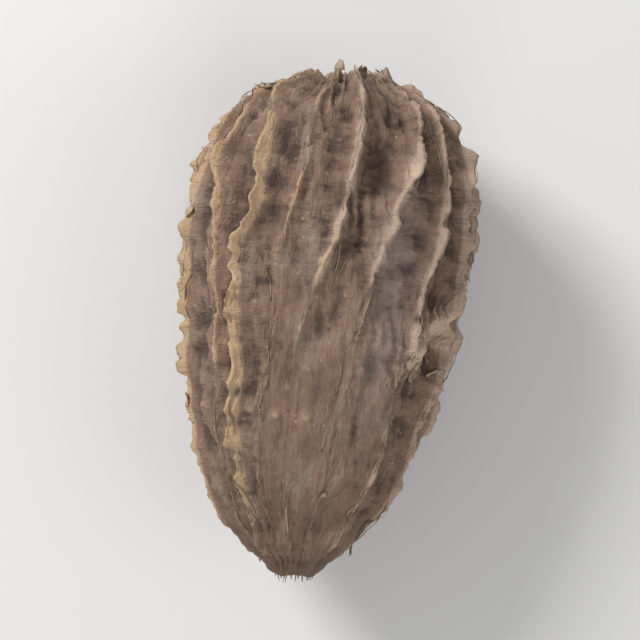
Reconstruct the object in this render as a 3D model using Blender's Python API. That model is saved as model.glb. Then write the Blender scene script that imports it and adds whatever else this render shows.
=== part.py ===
"""A dried black cardamom pod, lying on its side on a small flat spot.

Metres, +Z up. The pod's long axis runs along Y: the stalk end is at -Y and the calyx end at +Y. The pod is one
grown piece, an egg that is narrow at the stalk and broad and blunt at the calyx. Seventeen jagged ridges, the
wings of the dried fruit, run from the stalk scar to the ragged calyx ring. Some fade out on the way, and two of
them meet at the waist.
"""

import bisect
import math
import random

import bmesh
import bpy
import numpy as np
from mathutils import Euler, Vector, noise

MM = 0.001
OBLIQUE = Euler((0.7, 0.5, 1.1)).to_matrix()  # turns the noise's own grid away from the pod's axes

# The body's outline, without its ridges
STALK_HALF = 20.3 * MM  # from the widest place to the stalk end
CALYX_HALF = 13.9 * MM  # from the widest place to the calyx end
HALF_WIDTH = 9.1 * MM
HALF_DEPTH = 8.7 * MM
STALK_FULLNESS = 1.95  # superellipse exponents: 2 is an ellipse, and more is blunter
CALYX_FULLNESS = 3.7
CORNER_SHARE = 0.03  # how far the three corners of the cross-section stand out
CORNER_ANGLE = math.radians(45)
DENT_DEPTH = 0.7 * MM
DENT_SIZE = 7.0 * MM

# Where the pod lies: the skin is pressed flat here, this far below the long axis
REST_DROP = 8.9 * MM
MIDDLE = Vector((0.06 * MM, 2.45 * MM, 0.0))  # from the middle of the whole pod to its widest place

# Ridges
THIN_SHARE = 0.65  # of a ridge's height, the rest being its wide foot
THIN_WIDTH = 0.38 * MM
FOOT_WIDTH = 1.1 * MM
WANDER = math.radians(4.5)
WANDER_PITCH = 4.5 * MM
WANDER_TURNS = 2.2  # how much the wander differs from one ridge to the next
NOTCH_TOP = 1.1  # a crest's height where it has no notch, as a share of its listed height
NOTCH_DEPTH = 0.5
NOTCH_PITCH = 1.9 * MM
NOTCH_PITCH_SCATTER = 0.35
LEAN_SHARE = 0.6
LEAN_PITCH = 3.2 * MM
LEAN_ROOM = 2.5 * MM  # in a furrow narrower than this, crests lean less
RIDGE_FADE_RADIUS = 3.8 * MM  # nearer the axis than this, ridges run out
HOLLOW_SHARE = 0.22  # the skin sinks by this share of the ridges beside it

# Wrinkled skin between the ridges
LUMP_HEIGHT = 0.3 * MM
LUMP_SIZE = 1.7 * MM
LUMP_STRETCH = 1.7  # lumps are this much longer than wide
PUCKER_HEIGHT = 0.35 * MM
PUCKER_PITCH = 1.3 * MM
PUCKER_WIDTH = 3.0 * MM

# A torn, swollen patch beside the waist
PATCH_ANGLE = math.radians(50)
PATCH_PLACE = -3.2 * MM
PATCH_ALONG = 2.1 * MM
PATCH_AROUND = 0.9 * MM
PATCH_RISE = 0.55 * MM

# Calyx ring and stalk scar
CALYX_RADIUS = 2.7 * MM
CALYX_WALL = 0.6 * MM
CALYX_RISE = 0.55 * MM
CALYX_PIT = 0.7 * MM
CALYX_TEETH = 4.5  # roughly the number of teeth in half a turn
STALK_RADIUS = 2.1 * MM
STALK_RISE = 0.5 * MM
STALK_PIT = 0.5 * MM

HUSK_COLOUR = (0.23, 0.15, 0.11, 1.0)

# Mesh
COLUMNS_PER_RIDGE = 6
RINGS = 58
CREST_CROWDING = 0.65  # 0 spreads a furrow's columns evenly, and 1 puts them all at its crests
END_RADIUS = 4.2 * MM
END_CROWDING = 1.6  # nearer the axis than END_RADIUS, rings lie this much closer
OUTLINE_SAMPLES = 600
SEED = 11

# Each ridge has an angle from straight up, in degrees towards +X, and a height in millimetres, at five
# stations: shares of the length from the stalk end to the calyx end.
STATIONS = (0.0, 0.3, 0.55, 0.8, 1.0)
UPPER_RIDGES = (
    ((-72, -79, -82, -78, -74), (0.3, 0.9, 1.0, 0.7, 0.6)),  # along the left edge
    ((-50, -47, -49, -56, -58), (0.1, 0.2, 0.5, 0.9, 0.6)),  # branch that meets the next at the waist
    ((-36, -38, -39, -35, -42), (0.3, 0.8, 1.2, 1.1, 0.8)),  # the longest and palest
    ((-22, -26, -22, -16, -14), (0.1, 0.1, 0.1, 0.35, 0.5)),
    ((-8, -10, -6, 5, 14), (0.1, 0.05, 0.4, 1.1, 0.7)),  # the broad smooth face lies below these two
    ((10, 13, 19, 31, 44), (0.1, 0.05, 0.3, 1.1, 0.8)),
    ((32, 38, 43, 52, 59), (0.2, 0.4, 0.8, 0.9, 0.7)),
    ((58, 66, 66, 67, 76), (0.3, 0.9, 1.2, 1.3, 0.8)),
    ((86, 92, 91, 89, 96), (0.2, 0.7, 0.9, 0.9, 0.7)),  # along the right edge
)
LOWER_RIDGE_COUNT = 8
LOWER_RIDGE_HEIGHTS = (0.2, 0.7, 0.9, 1.0, 0.7)
LOWER_RIDGE_SCATTER = 5.0  # degrees
LOWER_HEIGHT_SCATTER = 0.55


def all_ridges():
    """The upper ridges, then those of the underside, spread over the angle that is left."""
    draw = random.Random(SEED)
    ridges = list(UPPER_RIDGES)
    first = UPPER_RIDGES[-1][0]
    last = [angle + 360 for angle in UPPER_RIDGES[0][0]]
    for number in range(1, LOWER_RIDGE_COUNT + 1):
        share = number / (LOWER_RIDGE_COUNT + 1)
        shift = draw.uniform(-LOWER_RIDGE_SCATTER, LOWER_RIDGE_SCATTER)
        angles = tuple(a + (b - a) * share + shift for a, b in zip(first, last))
        heights = tuple(
            height * (1 + draw.uniform(-LOWER_HEIGHT_SCATTER, LOWER_HEIGHT_SCATTER))
            for height in LOWER_RIDGE_HEIGHTS
        )
        ridges.append((angles, heights))
    return ridges


RIDGES = all_ridges()


def smooth_step(low, high, value):
    """0 below low, 1 above high, and a smooth rise between them."""
    share = min(max((value - low) / (high - low), 0.0), 1.0)
    return share * share * (3 - 2 * share)


def wave(x, y, z):
    """Smooth noise between -1 and 1, at a point whose unit is one wave."""
    return noise.noise(OBLIQUE @ Vector((x, y, z)))


def at_station(values, share):
    """A smooth curve through one value at each station, read at this share of the length."""
    last = len(STATIONS) - 1
    i = min(max(bisect.bisect_right(STATIONS, share) - 1, 0), last - 1)

    def slope(n):
        before, after = max(n - 1, 0), min(n + 1, last)
        return (values[after] - values[before]) / (STATIONS[after] - STATIONS[before])

    span = STATIONS[i + 1] - STATIONS[i]
    t = min(max((share - STATIONS[i]) / span, 0.0), 1.0)
    return (
        values[i] * (2 * t**3 - 3 * t**2 + 1)
        + values[i + 1] * (3 * t**2 - 2 * t**3)
        + slope(i) * span * (t**3 - 2 * t**2 + t)
        + slope(i + 1) * span * (t**3 - t**2)
    )


def outline_table():
    """Rows of share along the skin, place on the axis, radius, and the outward direction's two parts."""
    turn = np.linspace(0, math.pi, OUTLINE_SAMPLES)
    cosine = np.abs(np.cos(turn))
    nearer_stalk = turn < math.pi / 2
    half = np.where(nearer_stalk, STALK_HALF, CALYX_HALF)
    fullness = np.where(nearer_stalk, STALK_FULLNESS, CALYX_FULLNESS)
    place = half * cosine * np.where(nearer_stalk, -1, 1)
    radius = HALF_WIDTH * np.clip(1 - cosine**fullness, 0, 1) ** (1 / fullness)
    step = np.hypot(np.diff(place), np.diff(radius))
    walked = np.concatenate([[0], np.cumsum(step * np.where(radius[1:] < END_RADIUS, END_CROWDING, 1))])
    along_axis = np.gradient(place, walked)
    outwards = np.gradient(radius, walked)
    length = np.hypot(along_axis, outwards)
    return walked / walked[-1], place, radius, -outwards / length, along_axis / length


OUTLINE = outline_table()


def wander(angle, place):
    """The angle with a shift that changes slowly along and around the pod, so that no two ridges cross."""
    shift = wave(WANDER_TURNS * math.sin(angle), WANDER_TURNS * math.cos(angle), place / WANDER_PITCH)
    return angle + WANDER * shift


def crest_height(number, share, place, radius):
    """The height of a ridge, notched along its length and running out near the axis."""
    height = max(at_station(RIDGES[number][1], share), 0.0) * MM
    pitch = NOTCH_PITCH * (1 + NOTCH_PITCH_SCATTER * math.sin(2.4 * number))
    notch = smooth_step(-0.3, 0.5, wave(place / pitch, 3.1 * number, 4.5))
    return height * (NOTCH_TOP - NOTCH_DEPTH * notch) * smooth_step(0, RIDGE_FADE_RADIUS, radius)


def crest_lean(number, place):
    """How far a crest leans sideways, as a share of its height."""
    return LEAN_SHARE * wave(place / LEAN_PITCH, 1.9 * number, 8.5)


def ridge_profile(distance):
    """A ridge's share of its full height, at this distance from its crest along the skin."""
    thin = math.exp(-distance / THIN_WIDTH)
    foot = math.exp(-((distance / FOOT_WIDTH) ** 2))
    return THIN_SHARE * thin + (1 - THIN_SHARE) * foot


def patch_relief(place, radius, angle):
    """The swollen patch, a low mound that is longer than wide."""
    along = (place - PATCH_PLACE) / PATCH_ALONG
    around = (angle - PATCH_ANGLE) * radius / PATCH_AROUND
    return PATCH_RISE * math.exp(-(along**2) - around**2)


def end_relief(place, radius, angle):
    """The ragged calyx ring with the pit inside it, or the stub of the stalk with its scar."""
    if place < 0:
        stub = STALK_RISE * (1 - smooth_step(0.6 * STALK_RADIUS, 1.2 * STALK_RADIUS, radius))
        return stub - STALK_PIT * (1 - smooth_step(0, 0.7 * STALK_RADIUS, radius))
    teeth = 1 + wave(CALYX_TEETH * math.sin(angle), CALYX_TEETH * math.cos(angle), 2.5)
    ring = CALYX_RISE * teeth * math.exp(-(((radius - CALYX_RADIUS) / CALYX_WALL) ** 2))
    return ring - CALYX_PIT * (1 - smooth_step(0.5 * CALYX_RADIUS, CALYX_RADIUS, radius))


def skin_point(around, along):
    """Where the skin lies, from a share of the way around the pod and a share of the way along it.

    Every whole number of ridges around is a crest, so the mesh has an edge on each crest however it wanders.
    """
    place, radius, out_along, out_across = (np.interp(along, OUTLINE[0], row) for row in OUTLINE[1:])
    share = (place + STALK_HALF) / (STALK_HALF + CALYX_HALF)
    ridge, t = divmod(around * len(RIDGES), 1)
    left = int(ridge) % len(RIDGES)
    right = (left + 1) % len(RIDGES)
    across = t - CREST_CROWDING * math.sin(2 * math.pi * t) / (2 * math.pi)
    start = math.radians(at_station(RIDGES[left][0], share))
    span = math.radians(at_station(RIDGES[right][0], share)) - start
    if right == 0:
        span += 2 * math.pi
    angle = wander(start + span * across, place)
    height_left = crest_height(left, share, place, radius)
    height_right = crest_height(right, share, place, radius)
    swell_left = height_left * ridge_profile(span * across * radius)
    swell_right = height_right * ridge_profile(span * (1 - across) * radius)
    hollow = (height_left + height_right) * math.sin(math.pi * across)
    x, z = radius * math.sin(angle), radius * math.cos(angle)
    lump = wave(x / LUMP_SIZE, place / (LUMP_SIZE * LUMP_STRETCH), z / LUMP_SIZE)
    pucker = wave(x / PUCKER_WIDTH, place / PUCKER_PITCH, z / PUCKER_WIDTH)
    rise = (
        swell_left
        + swell_right
        - HOLLOW_SHARE * hollow
        + PUCKER_HEIGHT * pucker * min(hollow / MM, 1.0)
        + LUMP_HEIGHT * lump
        + DENT_DEPTH * wave(x / DENT_SIZE, place / DENT_SIZE, z / DENT_SIZE)
        + patch_relief(place, radius, angle)
        + end_relief(place, radius, angle)
    )
    lean = crest_lean(left, place) * swell_left + crest_lean(right, place) * swell_right
    angle += lean * min(span * radius / LEAN_ROOM, 1.0) / max(radius, RIDGE_FADE_RADIUS)
    reach = radius * (1 + CORNER_SHARE * math.cos(3 * (angle - CORNER_ANGLE))) + out_across * rise
    x = reach * math.sin(angle)
    z = reach * math.cos(angle) * HALF_DEPTH / HALF_WIDTH
    return Vector((x, place + out_along * rise, max(z, -REST_DROP) + REST_DROP)) + MIDDLE


def husk_material():
    """Dull brown dried husk."""
    material = bpy.data.materials.new("dried_husk")
    material.use_nodes = True
    shader = material.node_tree.nodes["Principled BSDF"]
    shader.inputs["Base Color"].default_value = HUSK_COLOUR
    shader.inputs["Roughness"].default_value = 0.8
    shader.inputs["Metallic"].default_value = 0.0
    material.diffuse_color = HUSK_COLOUR
    return material


def make_pod(collection):
    """The whole pod as one closed skin, drawn out from a sphere whose poles become its two ends."""
    skin = bmesh.new()
    columns = COLUMNS_PER_RIDGE * len(RIDGES)
    bmesh.ops.create_uvsphere(skin, u_segments=columns, v_segments=RINGS, radius=1.0)
    quarter = columns / 4  # the sphere's first column lies a quarter turn round, between two whole ones
    for vertex in skin.verts:
        along = 1 - math.acos(min(max(vertex.co.z, -1.0), 1.0)) / math.pi
        turn = math.atan2(vertex.co.y, vertex.co.x) / (2 * math.pi)
        column = round(turn * columns - quarter) % columns
        vertex.co = skin_point(column / columns, along)
    skin.normal_update()
    bmesh.ops.recalc_face_normals(skin, faces=skin.faces)
    mesh = bpy.data.meshes.new("pod")
    skin.to_mesh(mesh)
    skin.free()
    mesh.shade_smooth()
    mesh.set_sharp_from_angle(angle=math.radians(50))
    pod = bpy.data.objects.new("pod", mesh)
    pod.data.materials.append(husk_material())
    collection.objects.link(pod)
    return pod


def main():
    for old in list(bpy.data.objects):
        bpy.data.objects.remove(old, do_unlink=True)
    collection = bpy.data.collections.new("black_cardamom_pod")
    bpy.context.scene.collection.children.link(collection)
    make_pod(collection)


main()
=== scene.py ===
"""Looks of a dried black cardamom pod, lying on its side.

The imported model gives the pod's solid. This script lays a finely wrinkled husk over it, on the same outline
and with the same seventeen ridges, and adds what the solid is too coarse for: torn crests, fine wrinkles,
loose fibres, peeling flakes, the shreds of the calyx and the broken fibres of the stalk.

Metres, +Z up. The pod's long axis runs along Y, with the stalk end at -Y and the calyx end at +Y.
"""

import logging
import math
import random
from bisect import bisect_right
from collections.abc import Iterable, Sequence
from dataclasses import dataclass, field
from enum import Enum
from typing import Any

import bmesh
import bpy
import numpy as np
from mathutils import Euler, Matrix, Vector, noise


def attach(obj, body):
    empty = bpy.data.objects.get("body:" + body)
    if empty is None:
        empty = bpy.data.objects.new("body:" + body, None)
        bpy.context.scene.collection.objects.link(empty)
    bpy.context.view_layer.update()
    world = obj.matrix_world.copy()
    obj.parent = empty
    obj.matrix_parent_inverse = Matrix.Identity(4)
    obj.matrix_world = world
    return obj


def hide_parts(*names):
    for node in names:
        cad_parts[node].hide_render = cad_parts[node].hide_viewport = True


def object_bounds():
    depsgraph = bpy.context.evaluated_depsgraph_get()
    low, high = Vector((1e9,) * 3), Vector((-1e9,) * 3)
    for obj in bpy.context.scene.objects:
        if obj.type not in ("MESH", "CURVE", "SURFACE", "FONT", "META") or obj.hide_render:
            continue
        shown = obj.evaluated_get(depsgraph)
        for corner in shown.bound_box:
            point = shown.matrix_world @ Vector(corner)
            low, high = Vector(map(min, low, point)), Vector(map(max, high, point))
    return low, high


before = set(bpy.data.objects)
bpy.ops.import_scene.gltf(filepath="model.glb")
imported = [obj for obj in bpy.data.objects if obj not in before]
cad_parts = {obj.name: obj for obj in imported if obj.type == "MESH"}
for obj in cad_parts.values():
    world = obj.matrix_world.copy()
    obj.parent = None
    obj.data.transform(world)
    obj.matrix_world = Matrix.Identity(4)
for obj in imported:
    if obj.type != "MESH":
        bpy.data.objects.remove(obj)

CAD_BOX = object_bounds()
MM = 0.001
OBLIQUE = Euler((0.7, 0.5, 1.1)).to_matrix()  # turns the grid of the noise off the pod's axes
FINER_SCALE = 1.83
FINER_SHIFT = (5.1, 2.7, 8.3)
BROAD_SHARE = 0.8
FINER_SHARE = 0.45
STRAND_SIDES = 5
STRAND_TIP = 0.3
SALTS = (0, 50)  # numbers that give each shred a ragged edge of its own
LOG = logging.getLogger("black_cardamom_pod")

Colour = tuple[float, float, float]
Span = tuple[float, float]


def smooth_step(low: float, high: float, value: float) -> float:
    """Rise smoothly from 0 to 1.

    Args:
        low: Value at and below which the result is 0.
        high: Value at and above which the result is 1.
        value: Where to read the rise.

    Returns:
        The share from 0 to 1.
    """
    share = min(max((value - low) / (high - low), 0.0), 1.0)
    return share * share * (3 - 2 * share)


def wave(x: float, y: float, z: float) -> float:
    """Return smooth noise between -1 and 1 at a point whose unit is one wave."""
    return noise.noise(OBLIQUE @ Vector((x, y, z)))


def crease(x: float, y: float, z: float, sharpness: float) -> float:
    """Read noise that makes thin wandering lines.

    Args:
        x: Where to read it, in waves.
        y: The same, along Y.
        z: The same, along Z.
        sharpness: How thin the lines are.

    Returns:
        The noise, which is 1 along the lines and near 0 between them.
    """
    broad = wave(x, y, z)
    finer = wave(*(FINER_SCALE * part + shift for part, shift in zip((x, y, z), FINER_SHIFT)))
    return (1 - abs(BROAD_SHARE * broad + FINER_SHARE * finer)) ** sharpness


class Socket:
    """A shader output that carries a number, on which arithmetic adds Math nodes."""

    def __init__(self, tree: "ShaderTree", output: bpy.types.NodeSocket) -> None:
        """Keep the tree that new nodes go into and the output that they read."""
        self.tree = tree
        self.output = output

    def _math(self, operation: str, first: Any, second: Any = None, clamp: bool = False) -> "Socket":
        """Add one Math node.

        Args:
            operation: Blender's name of the operation.
            first: Number or socket for the first value.
            second: Number or socket for the second value, if there is one.
            clamp: Whether the result stays between 0 and 1.

        Returns:
            The node's result.
        """
        values = {0: first} if second is None else {0: first, 1: second}
        return self.tree.value("ShaderNodeMath", {"operation": operation, "use_clamp": clamp}, values)

    def __add__(self, other: Any) -> "Socket":
        """Return self + other."""
        return self._math("ADD", self, other)

    def __radd__(self, other: Any) -> "Socket":
        """Return other + self."""
        return self._math("ADD", other, self)

    def __sub__(self, other: Any) -> "Socket":
        """Return self - other."""
        return self._math("SUBTRACT", self, other)

    def __rsub__(self, other: Any) -> "Socket":
        """Return other - self."""
        return self._math("SUBTRACT", other, self)

    def __mul__(self, other: Any) -> "Socket":
        """Return self * other."""
        return self._math("MULTIPLY", self, other)

    def __rmul__(self, other: Any) -> "Socket":
        """Return other * self."""
        return self._math("MULTIPLY", other, self)

    def ridged(self, steepness: float) -> "Socket":
        """Return 1 where the value is 0.5, falling to 0 on both sides of it."""
        away = self._math("ABSOLUTE", self - 0.5)
        return self._math("SUBTRACT", 1.0, away * steepness, clamp=True)

    def between(self, low: float, high: float) -> "Socket":
        """Rise smoothly from 0 at low to 1 at high.

        Args:
            low: Value that becomes 0.
            high: Value that becomes 1.

        Returns:
            The rise, kept between 0 and 1.
        """
        settings = {"interpolation_type": "SMOOTHSTEP"}
        values = {"Value": self, "From Min": low, "From Max": high}
        return self.tree.value("ShaderNodeMapRange", settings, values)


class ShaderTree:
    """A new material and the nodes in it."""

    def __init__(self, name: str) -> None:
        """Make the material, holding only its Principled shader and its output."""
        self.material = bpy.data.materials.new(name)
        self.material.use_nodes = True
        self.shader = self.material.node_tree.nodes["Principled BSDF"]

    def node(self, kind: str, settings: dict[str, Any], values: dict[Any, Any]) -> bpy.types.Node:
        """Add any node: its settings first, then its sockets.

        Args:
            kind: The node's type.
            settings: Properties of the node.
            values: Number, colour, vector or link for sockets, by name or index.

        Returns:
            The node.
        """
        made = self.material.node_tree.nodes.new(kind)
        for name, value in settings.items():
            setattr(made, name, value)
        for key, value in values.items():
            self.feed(made, key, value)
        return made

    def feed(self, node: bpy.types.Node, key: Any, value: Any) -> None:
        """Give one socket of a node its value.

        Args:
            node: The node.
            key: The socket's name, of those in use, or its index.
            value: Number, colour, vector, socket wrapper or output.
        """
        if isinstance(key, int):
            socket = node.inputs[key]
        else:
            socket = next(s for s in node.inputs if s.enabled and s.name == key)
        if isinstance(value, Socket):
            value = value.output
        if isinstance(value, bpy.types.NodeSocket):
            self.material.node_tree.links.new(value, socket)
        elif socket.type == "RGBA":
            socket.default_value = (*value, 1.0)
        else:
            socket.default_value = value

    def output(self, kind: str, settings: dict[str, Any], values: dict[Any, Any], name: Any = 0) -> Any:
        """Add any node and pick one of its outputs.

        Args:
            kind: The node's type.
            settings: Properties of the node.
            values: What its sockets get, by name or index.
            name: The output's name, or the index from which the first one in use is taken.

        Returns:
            The output.
        """
        made = self.node(kind, settings, values)
        if isinstance(name, int):
            return next(s for i, s in enumerate(made.outputs) if s.enabled and i >= name)
        return made.outputs[name]

    def value(self, kind: str, settings: dict[str, Any], values: dict[Any, Any], name: Any = 0) -> Socket:
        """Add any node and return one of its outputs, ready for arithmetic."""
        return Socket(self, self.output(kind, settings, values, name))

    def mix(self, share: Any, first: Any, second: Any) -> Any:
        """Blend two colours.

        Args:
            share: Number or socket, the second colour's share.
            first: Colour or output at share 0.
            second: Colour or output at share 1.

        Returns:
            The blended colour's output.
        """
        settings = {"data_type": "RGBA", "clamp_factor": True}
        return self.output("ShaderNodeMix", settings, {"Factor": share, "A": first, "B": second})

    def attribute(self, name: str) -> Any:
        """Return the vector that an attribute of the mesh holds."""
        return self.output("ShaderNodeAttribute", {"attribute_name": name}, {}, "Vector")

    def number(self, name: str) -> Socket:
        """Return the number that an attribute of the mesh holds."""
        return self.value("ShaderNodeAttribute", {"attribute_name": name}, {}, "Fac")

    def stretched(self, vector: Any, scale: tuple[float, float, float]) -> Any:
        """Return a vector with each of its parts multiplied."""
        return self.output("ShaderNodeVectorMath", {"operation": "MULTIPLY"}, {0: vector, 1: scale})

    def bent(self, vector: Any, scale: float, depth: float) -> Any:
        """Return a vector shifted to and fro, so that what is read with it wanders.

        Args:
            vector: The vector.
            scale: Waves to a unit.
            depth: How far it is shifted, at most.

        Returns:
            The shifted vector's output.
        """
        values = {"Vector": vector, "Scale": scale, "Detail": 2.0}
        shift = self.output("ShaderNodeTexNoise", {}, values, "Color")
        settings = {"operation": "MULTIPLY_ADD"}
        doubled = (2 * depth, 2 * depth, 2 * depth)
        centred = (-depth, -depth, -depth)
        shift = self.output("ShaderNodeVectorMath", settings, {0: shift, 1: doubled, 2: centred})
        return self.output("ShaderNodeVectorMath", {"operation": "ADD"}, {0: vector, 1: shift})

    def noise(self, vector: Any, scale: float, detail: float, roughness: float = 0.5) -> Socket:
        """Add a noise texture.

        Args:
            vector: Where it is read.
            scale: Waves to a unit.
            detail: Octaves.
            roughness: Strength of the finer octaves.

        Returns:
            The noise, mostly between 0.3 and 0.7.
        """
        values = {"Vector": vector, "Scale": scale, "Detail": detail, "Roughness": roughness}
        return self.value("ShaderNodeTexNoise", {}, values)

    def cells(self, vector: Any, scale: float) -> Socket:
        """Return how far a point is from the middle of its cell, for dots."""
        return self.value("ShaderNodeTexVoronoi", {}, {"Vector": vector, "Scale": scale}, "Distance")

    def part(self, vector: Any, name: str) -> Socket:
        """Return one part of a vector, by its name X, Y or Z."""
        return self.value("ShaderNodeSeparateXYZ", {}, {0: vector}, name)

    def bump(self, height: Socket, strength: float, depth: float) -> Any:
        """Return the normals of a surface that a height lifts, by up to a depth."""
        return self.output("ShaderNodeBump", {}, {"Strength": strength, "Distance": depth, "Height": height})

    def finish(self, values: dict[str, Any]) -> bpy.types.Material:
        """Feed the Principled shader.

        Args:
            values: What its sockets get, by name.

        Returns:
            The finished material.
        """
        for name, value in values.items():
            self.feed(self.shader, name, value)
        return self.material


@dataclass(frozen=True)
class Pattern:
    """A noise whose spots may be longer than they are wide.

    Attributes:
        width: Size of its spots around the pod.
        length: Their size along the pod.
        detail: Octaves.
        roughness: Strength of the finer octaves.
    """

    width: float
    length: float
    detail: float
    roughness: float

    def on(self, tree: ShaderTree, vector: Any) -> Socket:
        """Return the noise read at a vector, mostly between 0.3 and 0.7."""
        stretched = tree.stretched(vector, (1, self.width / self.length, 1))
        return tree.noise(stretched, 1 / self.width, self.detail, self.roughness)


@dataclass(frozen=True)
class Recipe:
    """How the layers of a texture make up one of its masks.

    Attributes:
        shares: Strength of each layer, by the layer's name.
        low: Sum that makes the mask 0.
        high: Sum that makes the mask 1.
    """

    shares: dict[str, float]
    low: float = 0.0
    high: float = 1.0

    def total(self, layers: dict[str, Socket]) -> Socket:
        """Return the sum of the layers, each at its strength."""
        return sum(layers[name] * share for name, share in self.shares.items())

    def mask(self, layers: dict[str, Socket]) -> Socket:
        """Return the mask, between 0 and 1."""
        return self.total(layers).between(self.low, self.high)


@dataclass(frozen=True)
class HuskFinish:
    """Dull brown dried husk: painted shade in its furrows and hollows, pale crests that are partly wear and
    partly painted highlight, lengthwise fibres and small dots.

    Colours are linear. Sizes are in millimetres, as the husk's own grain attribute is, apart from bump_depth.
    """

    # painted shade: the darkest brown, laid where the skin sinks below its surroundings
    painted_furrow_shade: Colour = (0.062, 0.037, 0.035)
    umber: Colour = (0.180, 0.109, 0.075)
    brown: Colour = (0.330, 0.218, 0.152)
    # crest colours: the husk's pale wear, partly a painted highlight
    gold: Colour = (0.55, 0.375, 0.215)
    rose: Colour = (0.50, 0.357, 0.272)
    straw: Colour = (0.64, 0.46, 0.335)
    ash: Colour = (0.285, 0.222, 0.190)
    # painted shade: the purplish tint of the long shaded hollow beside the smooth face
    hollow_shade_mauve: Colour = (0.37, 0.278, 0.250)
    fibre: Pattern = Pattern(0.16, 2.6, 3, 0.6)
    blotch: Pattern = Pattern(4.5, 4.5, 4, 0.6)
    speck: Pattern = Pattern(0.12, 0.12, 2, 0.7)
    mottle: Pattern = Pattern(0.9, 0.9, 4, 0.7)
    bloom: Pattern = Pattern(1 / 0.33, 2 / 0.33, 3, 0.6)
    dotted: Pattern = Pattern(1 / 0.45, 1 / 0.45, 1, 0.5)
    crinkle: Pattern = Pattern(1.1, 0.36, 3, 0.55)
    crinkle_steepness: float = 5.0
    bend_size: float = 2.2
    bend_depth: float = 0.5
    dot_size: float = 0.85
    dot_edge: Span = (0.10, 0.20)
    dotted_span: Span = (0.50, 0.62)
    dotted_folds: float = 0.05
    bloom_span: Span = (0.48, 0.66)
    bloom_share: float = 0.75
    furrow_shade_share: float = 0.66
    hollow_shade_share: float = 0.5
    hollow_shade_tone: float = 0.4
    wear_and_highlight_share: float = 0.85
    dot_share: float = 0.45
    torn_share: float = 0.9
    # over the random mottle, the relief share paints shade into hollows and highlight onto raised skin
    tone: Recipe = Recipe({"blotch": 0.9, "fibre": 0.7, "speck": 0.35, "relief": 0.55}, 0.85, 1.75)
    # painted shade in the furrows and hollows, with streaky edges from the fibres
    cavity_shade: Recipe = Recipe({"relief": -1.0, "fibre": 0.6, "crinkle": 0.12, "mottle": 0.7}, 0.31, 0.71)
    golden: Recipe = Recipe({"blotch": 1.0, "aside": -0.03}, 0.42, 0.58)
    # pale crests and raised skin: partly wear, partly painted highlight
    wear_and_highlight: Recipe = Recipe({"crest": 1.15, "relief": 1.7, "fibre": 1.1}, 1.69, 2.57)
    torn: Recipe = Recipe({"tear": 1.0, "fibre": 1.1, "blotch": 0.9}, 1.25, 1.85)
    rough: Recipe = Recipe({"fibre": 0.6, "speck": 0.4, "crest": -0.25}, 0.2, 0.7)
    lift: Recipe = Recipe(
        {"fibre": 0.55, "speck": 0.22, "dot": 0.2, "blotch": 0.2, "crinkle": 0.04, "folded": 0.16}
    )
    roughness: Span = (0.56, 0.86)
    specular: float = 0.35
    bump_depth: float = 0.3 * MM

    def _layers(self, tree: ShaderTree) -> dict[str, Socket]:
        """Add the layers of the husk's texture.

        Args:
            tree: The material's nodes.

        Returns:
            The layers, by name.
        """
        grain = tree.attribute("grain")
        relief_crest_tear = tree.attribute("relief_crest_tear")
        folds = tree.number("folds")
        bent = tree.bent(grain, 1 / self.bend_size, self.bend_depth)
        crinkle = self.crinkle.on(tree, bent).ridged(self.crinkle_steepness)
        dot = 1 - tree.cells(grain, 1 / self.dot_size).between(*self.dot_edge)
        dotted = self.dotted.on(tree, grain) + folds * self.dotted_folds
        return {
            "relief": tree.part(relief_crest_tear, "X"),
            "crest": tree.part(relief_crest_tear, "Y"),
            "tear": tree.part(relief_crest_tear, "Z"),
            "aside": tree.part(grain, "X"),
            "hollow_shade": tree.number("hollow_shade"),
            "fibre": self.fibre.on(tree, bent),
            "blotch": self.blotch.on(tree, grain),
            "speck": self.speck.on(tree, grain),
            "mottle": self.mottle.on(tree, bent),
            "bloom": self.bloom.on(tree, grain).between(*self.bloom_span),
            "dot": dot * dotted.between(*self.dotted_span),
            "crinkle": crinkle,
            "folded": crinkle * folds,
        }

    def material(self) -> bpy.types.Material:
        """Build the husk's material, each colour laid over the ones before it."""
        tree = ShaderTree("dried_husk")
        layers = self._layers(tree)
        tone = self.tone.mask(layers)
        crests = tree.mix(self.golden.mask(layers), self.rose, self.gold)
        colour = tree.mix(tone, self.umber, self.brown)
        for share, over in (
            (layers["bloom"] * tone * self.bloom_share, self.ash),
            # painted shade in the furrows and hollows
            (self.cavity_shade.mask(layers) * self.furrow_shade_share, self.painted_furrow_shade),
            # painted shade along the long hollow beside the smooth face
            (layers["hollow_shade"] * (tone * self.hollow_shade_tone + self.hollow_shade_share), self.hollow_shade_mauve),
            # pale crests: partly wear, partly painted highlight
            (self.wear_and_highlight.mask(layers) * self.wear_and_highlight_share, crests),
            (layers["dot"] * self.dot_share, self.rose),
            (self.torn.mask(layers) * self.torn_share, self.straw),
        ):
            colour = tree.mix(share, colour, over)
        low, high = self.roughness
        return tree.finish(
            {
                "Base Color": colour,
                "Roughness": self.rough.mask(layers) * (high - low) + low,
                "Specular IOR Level": self.specular,
                "Normal": tree.bump(self.lift.total(layers), 1.0, self.bump_depth),
            }
        )


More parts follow.
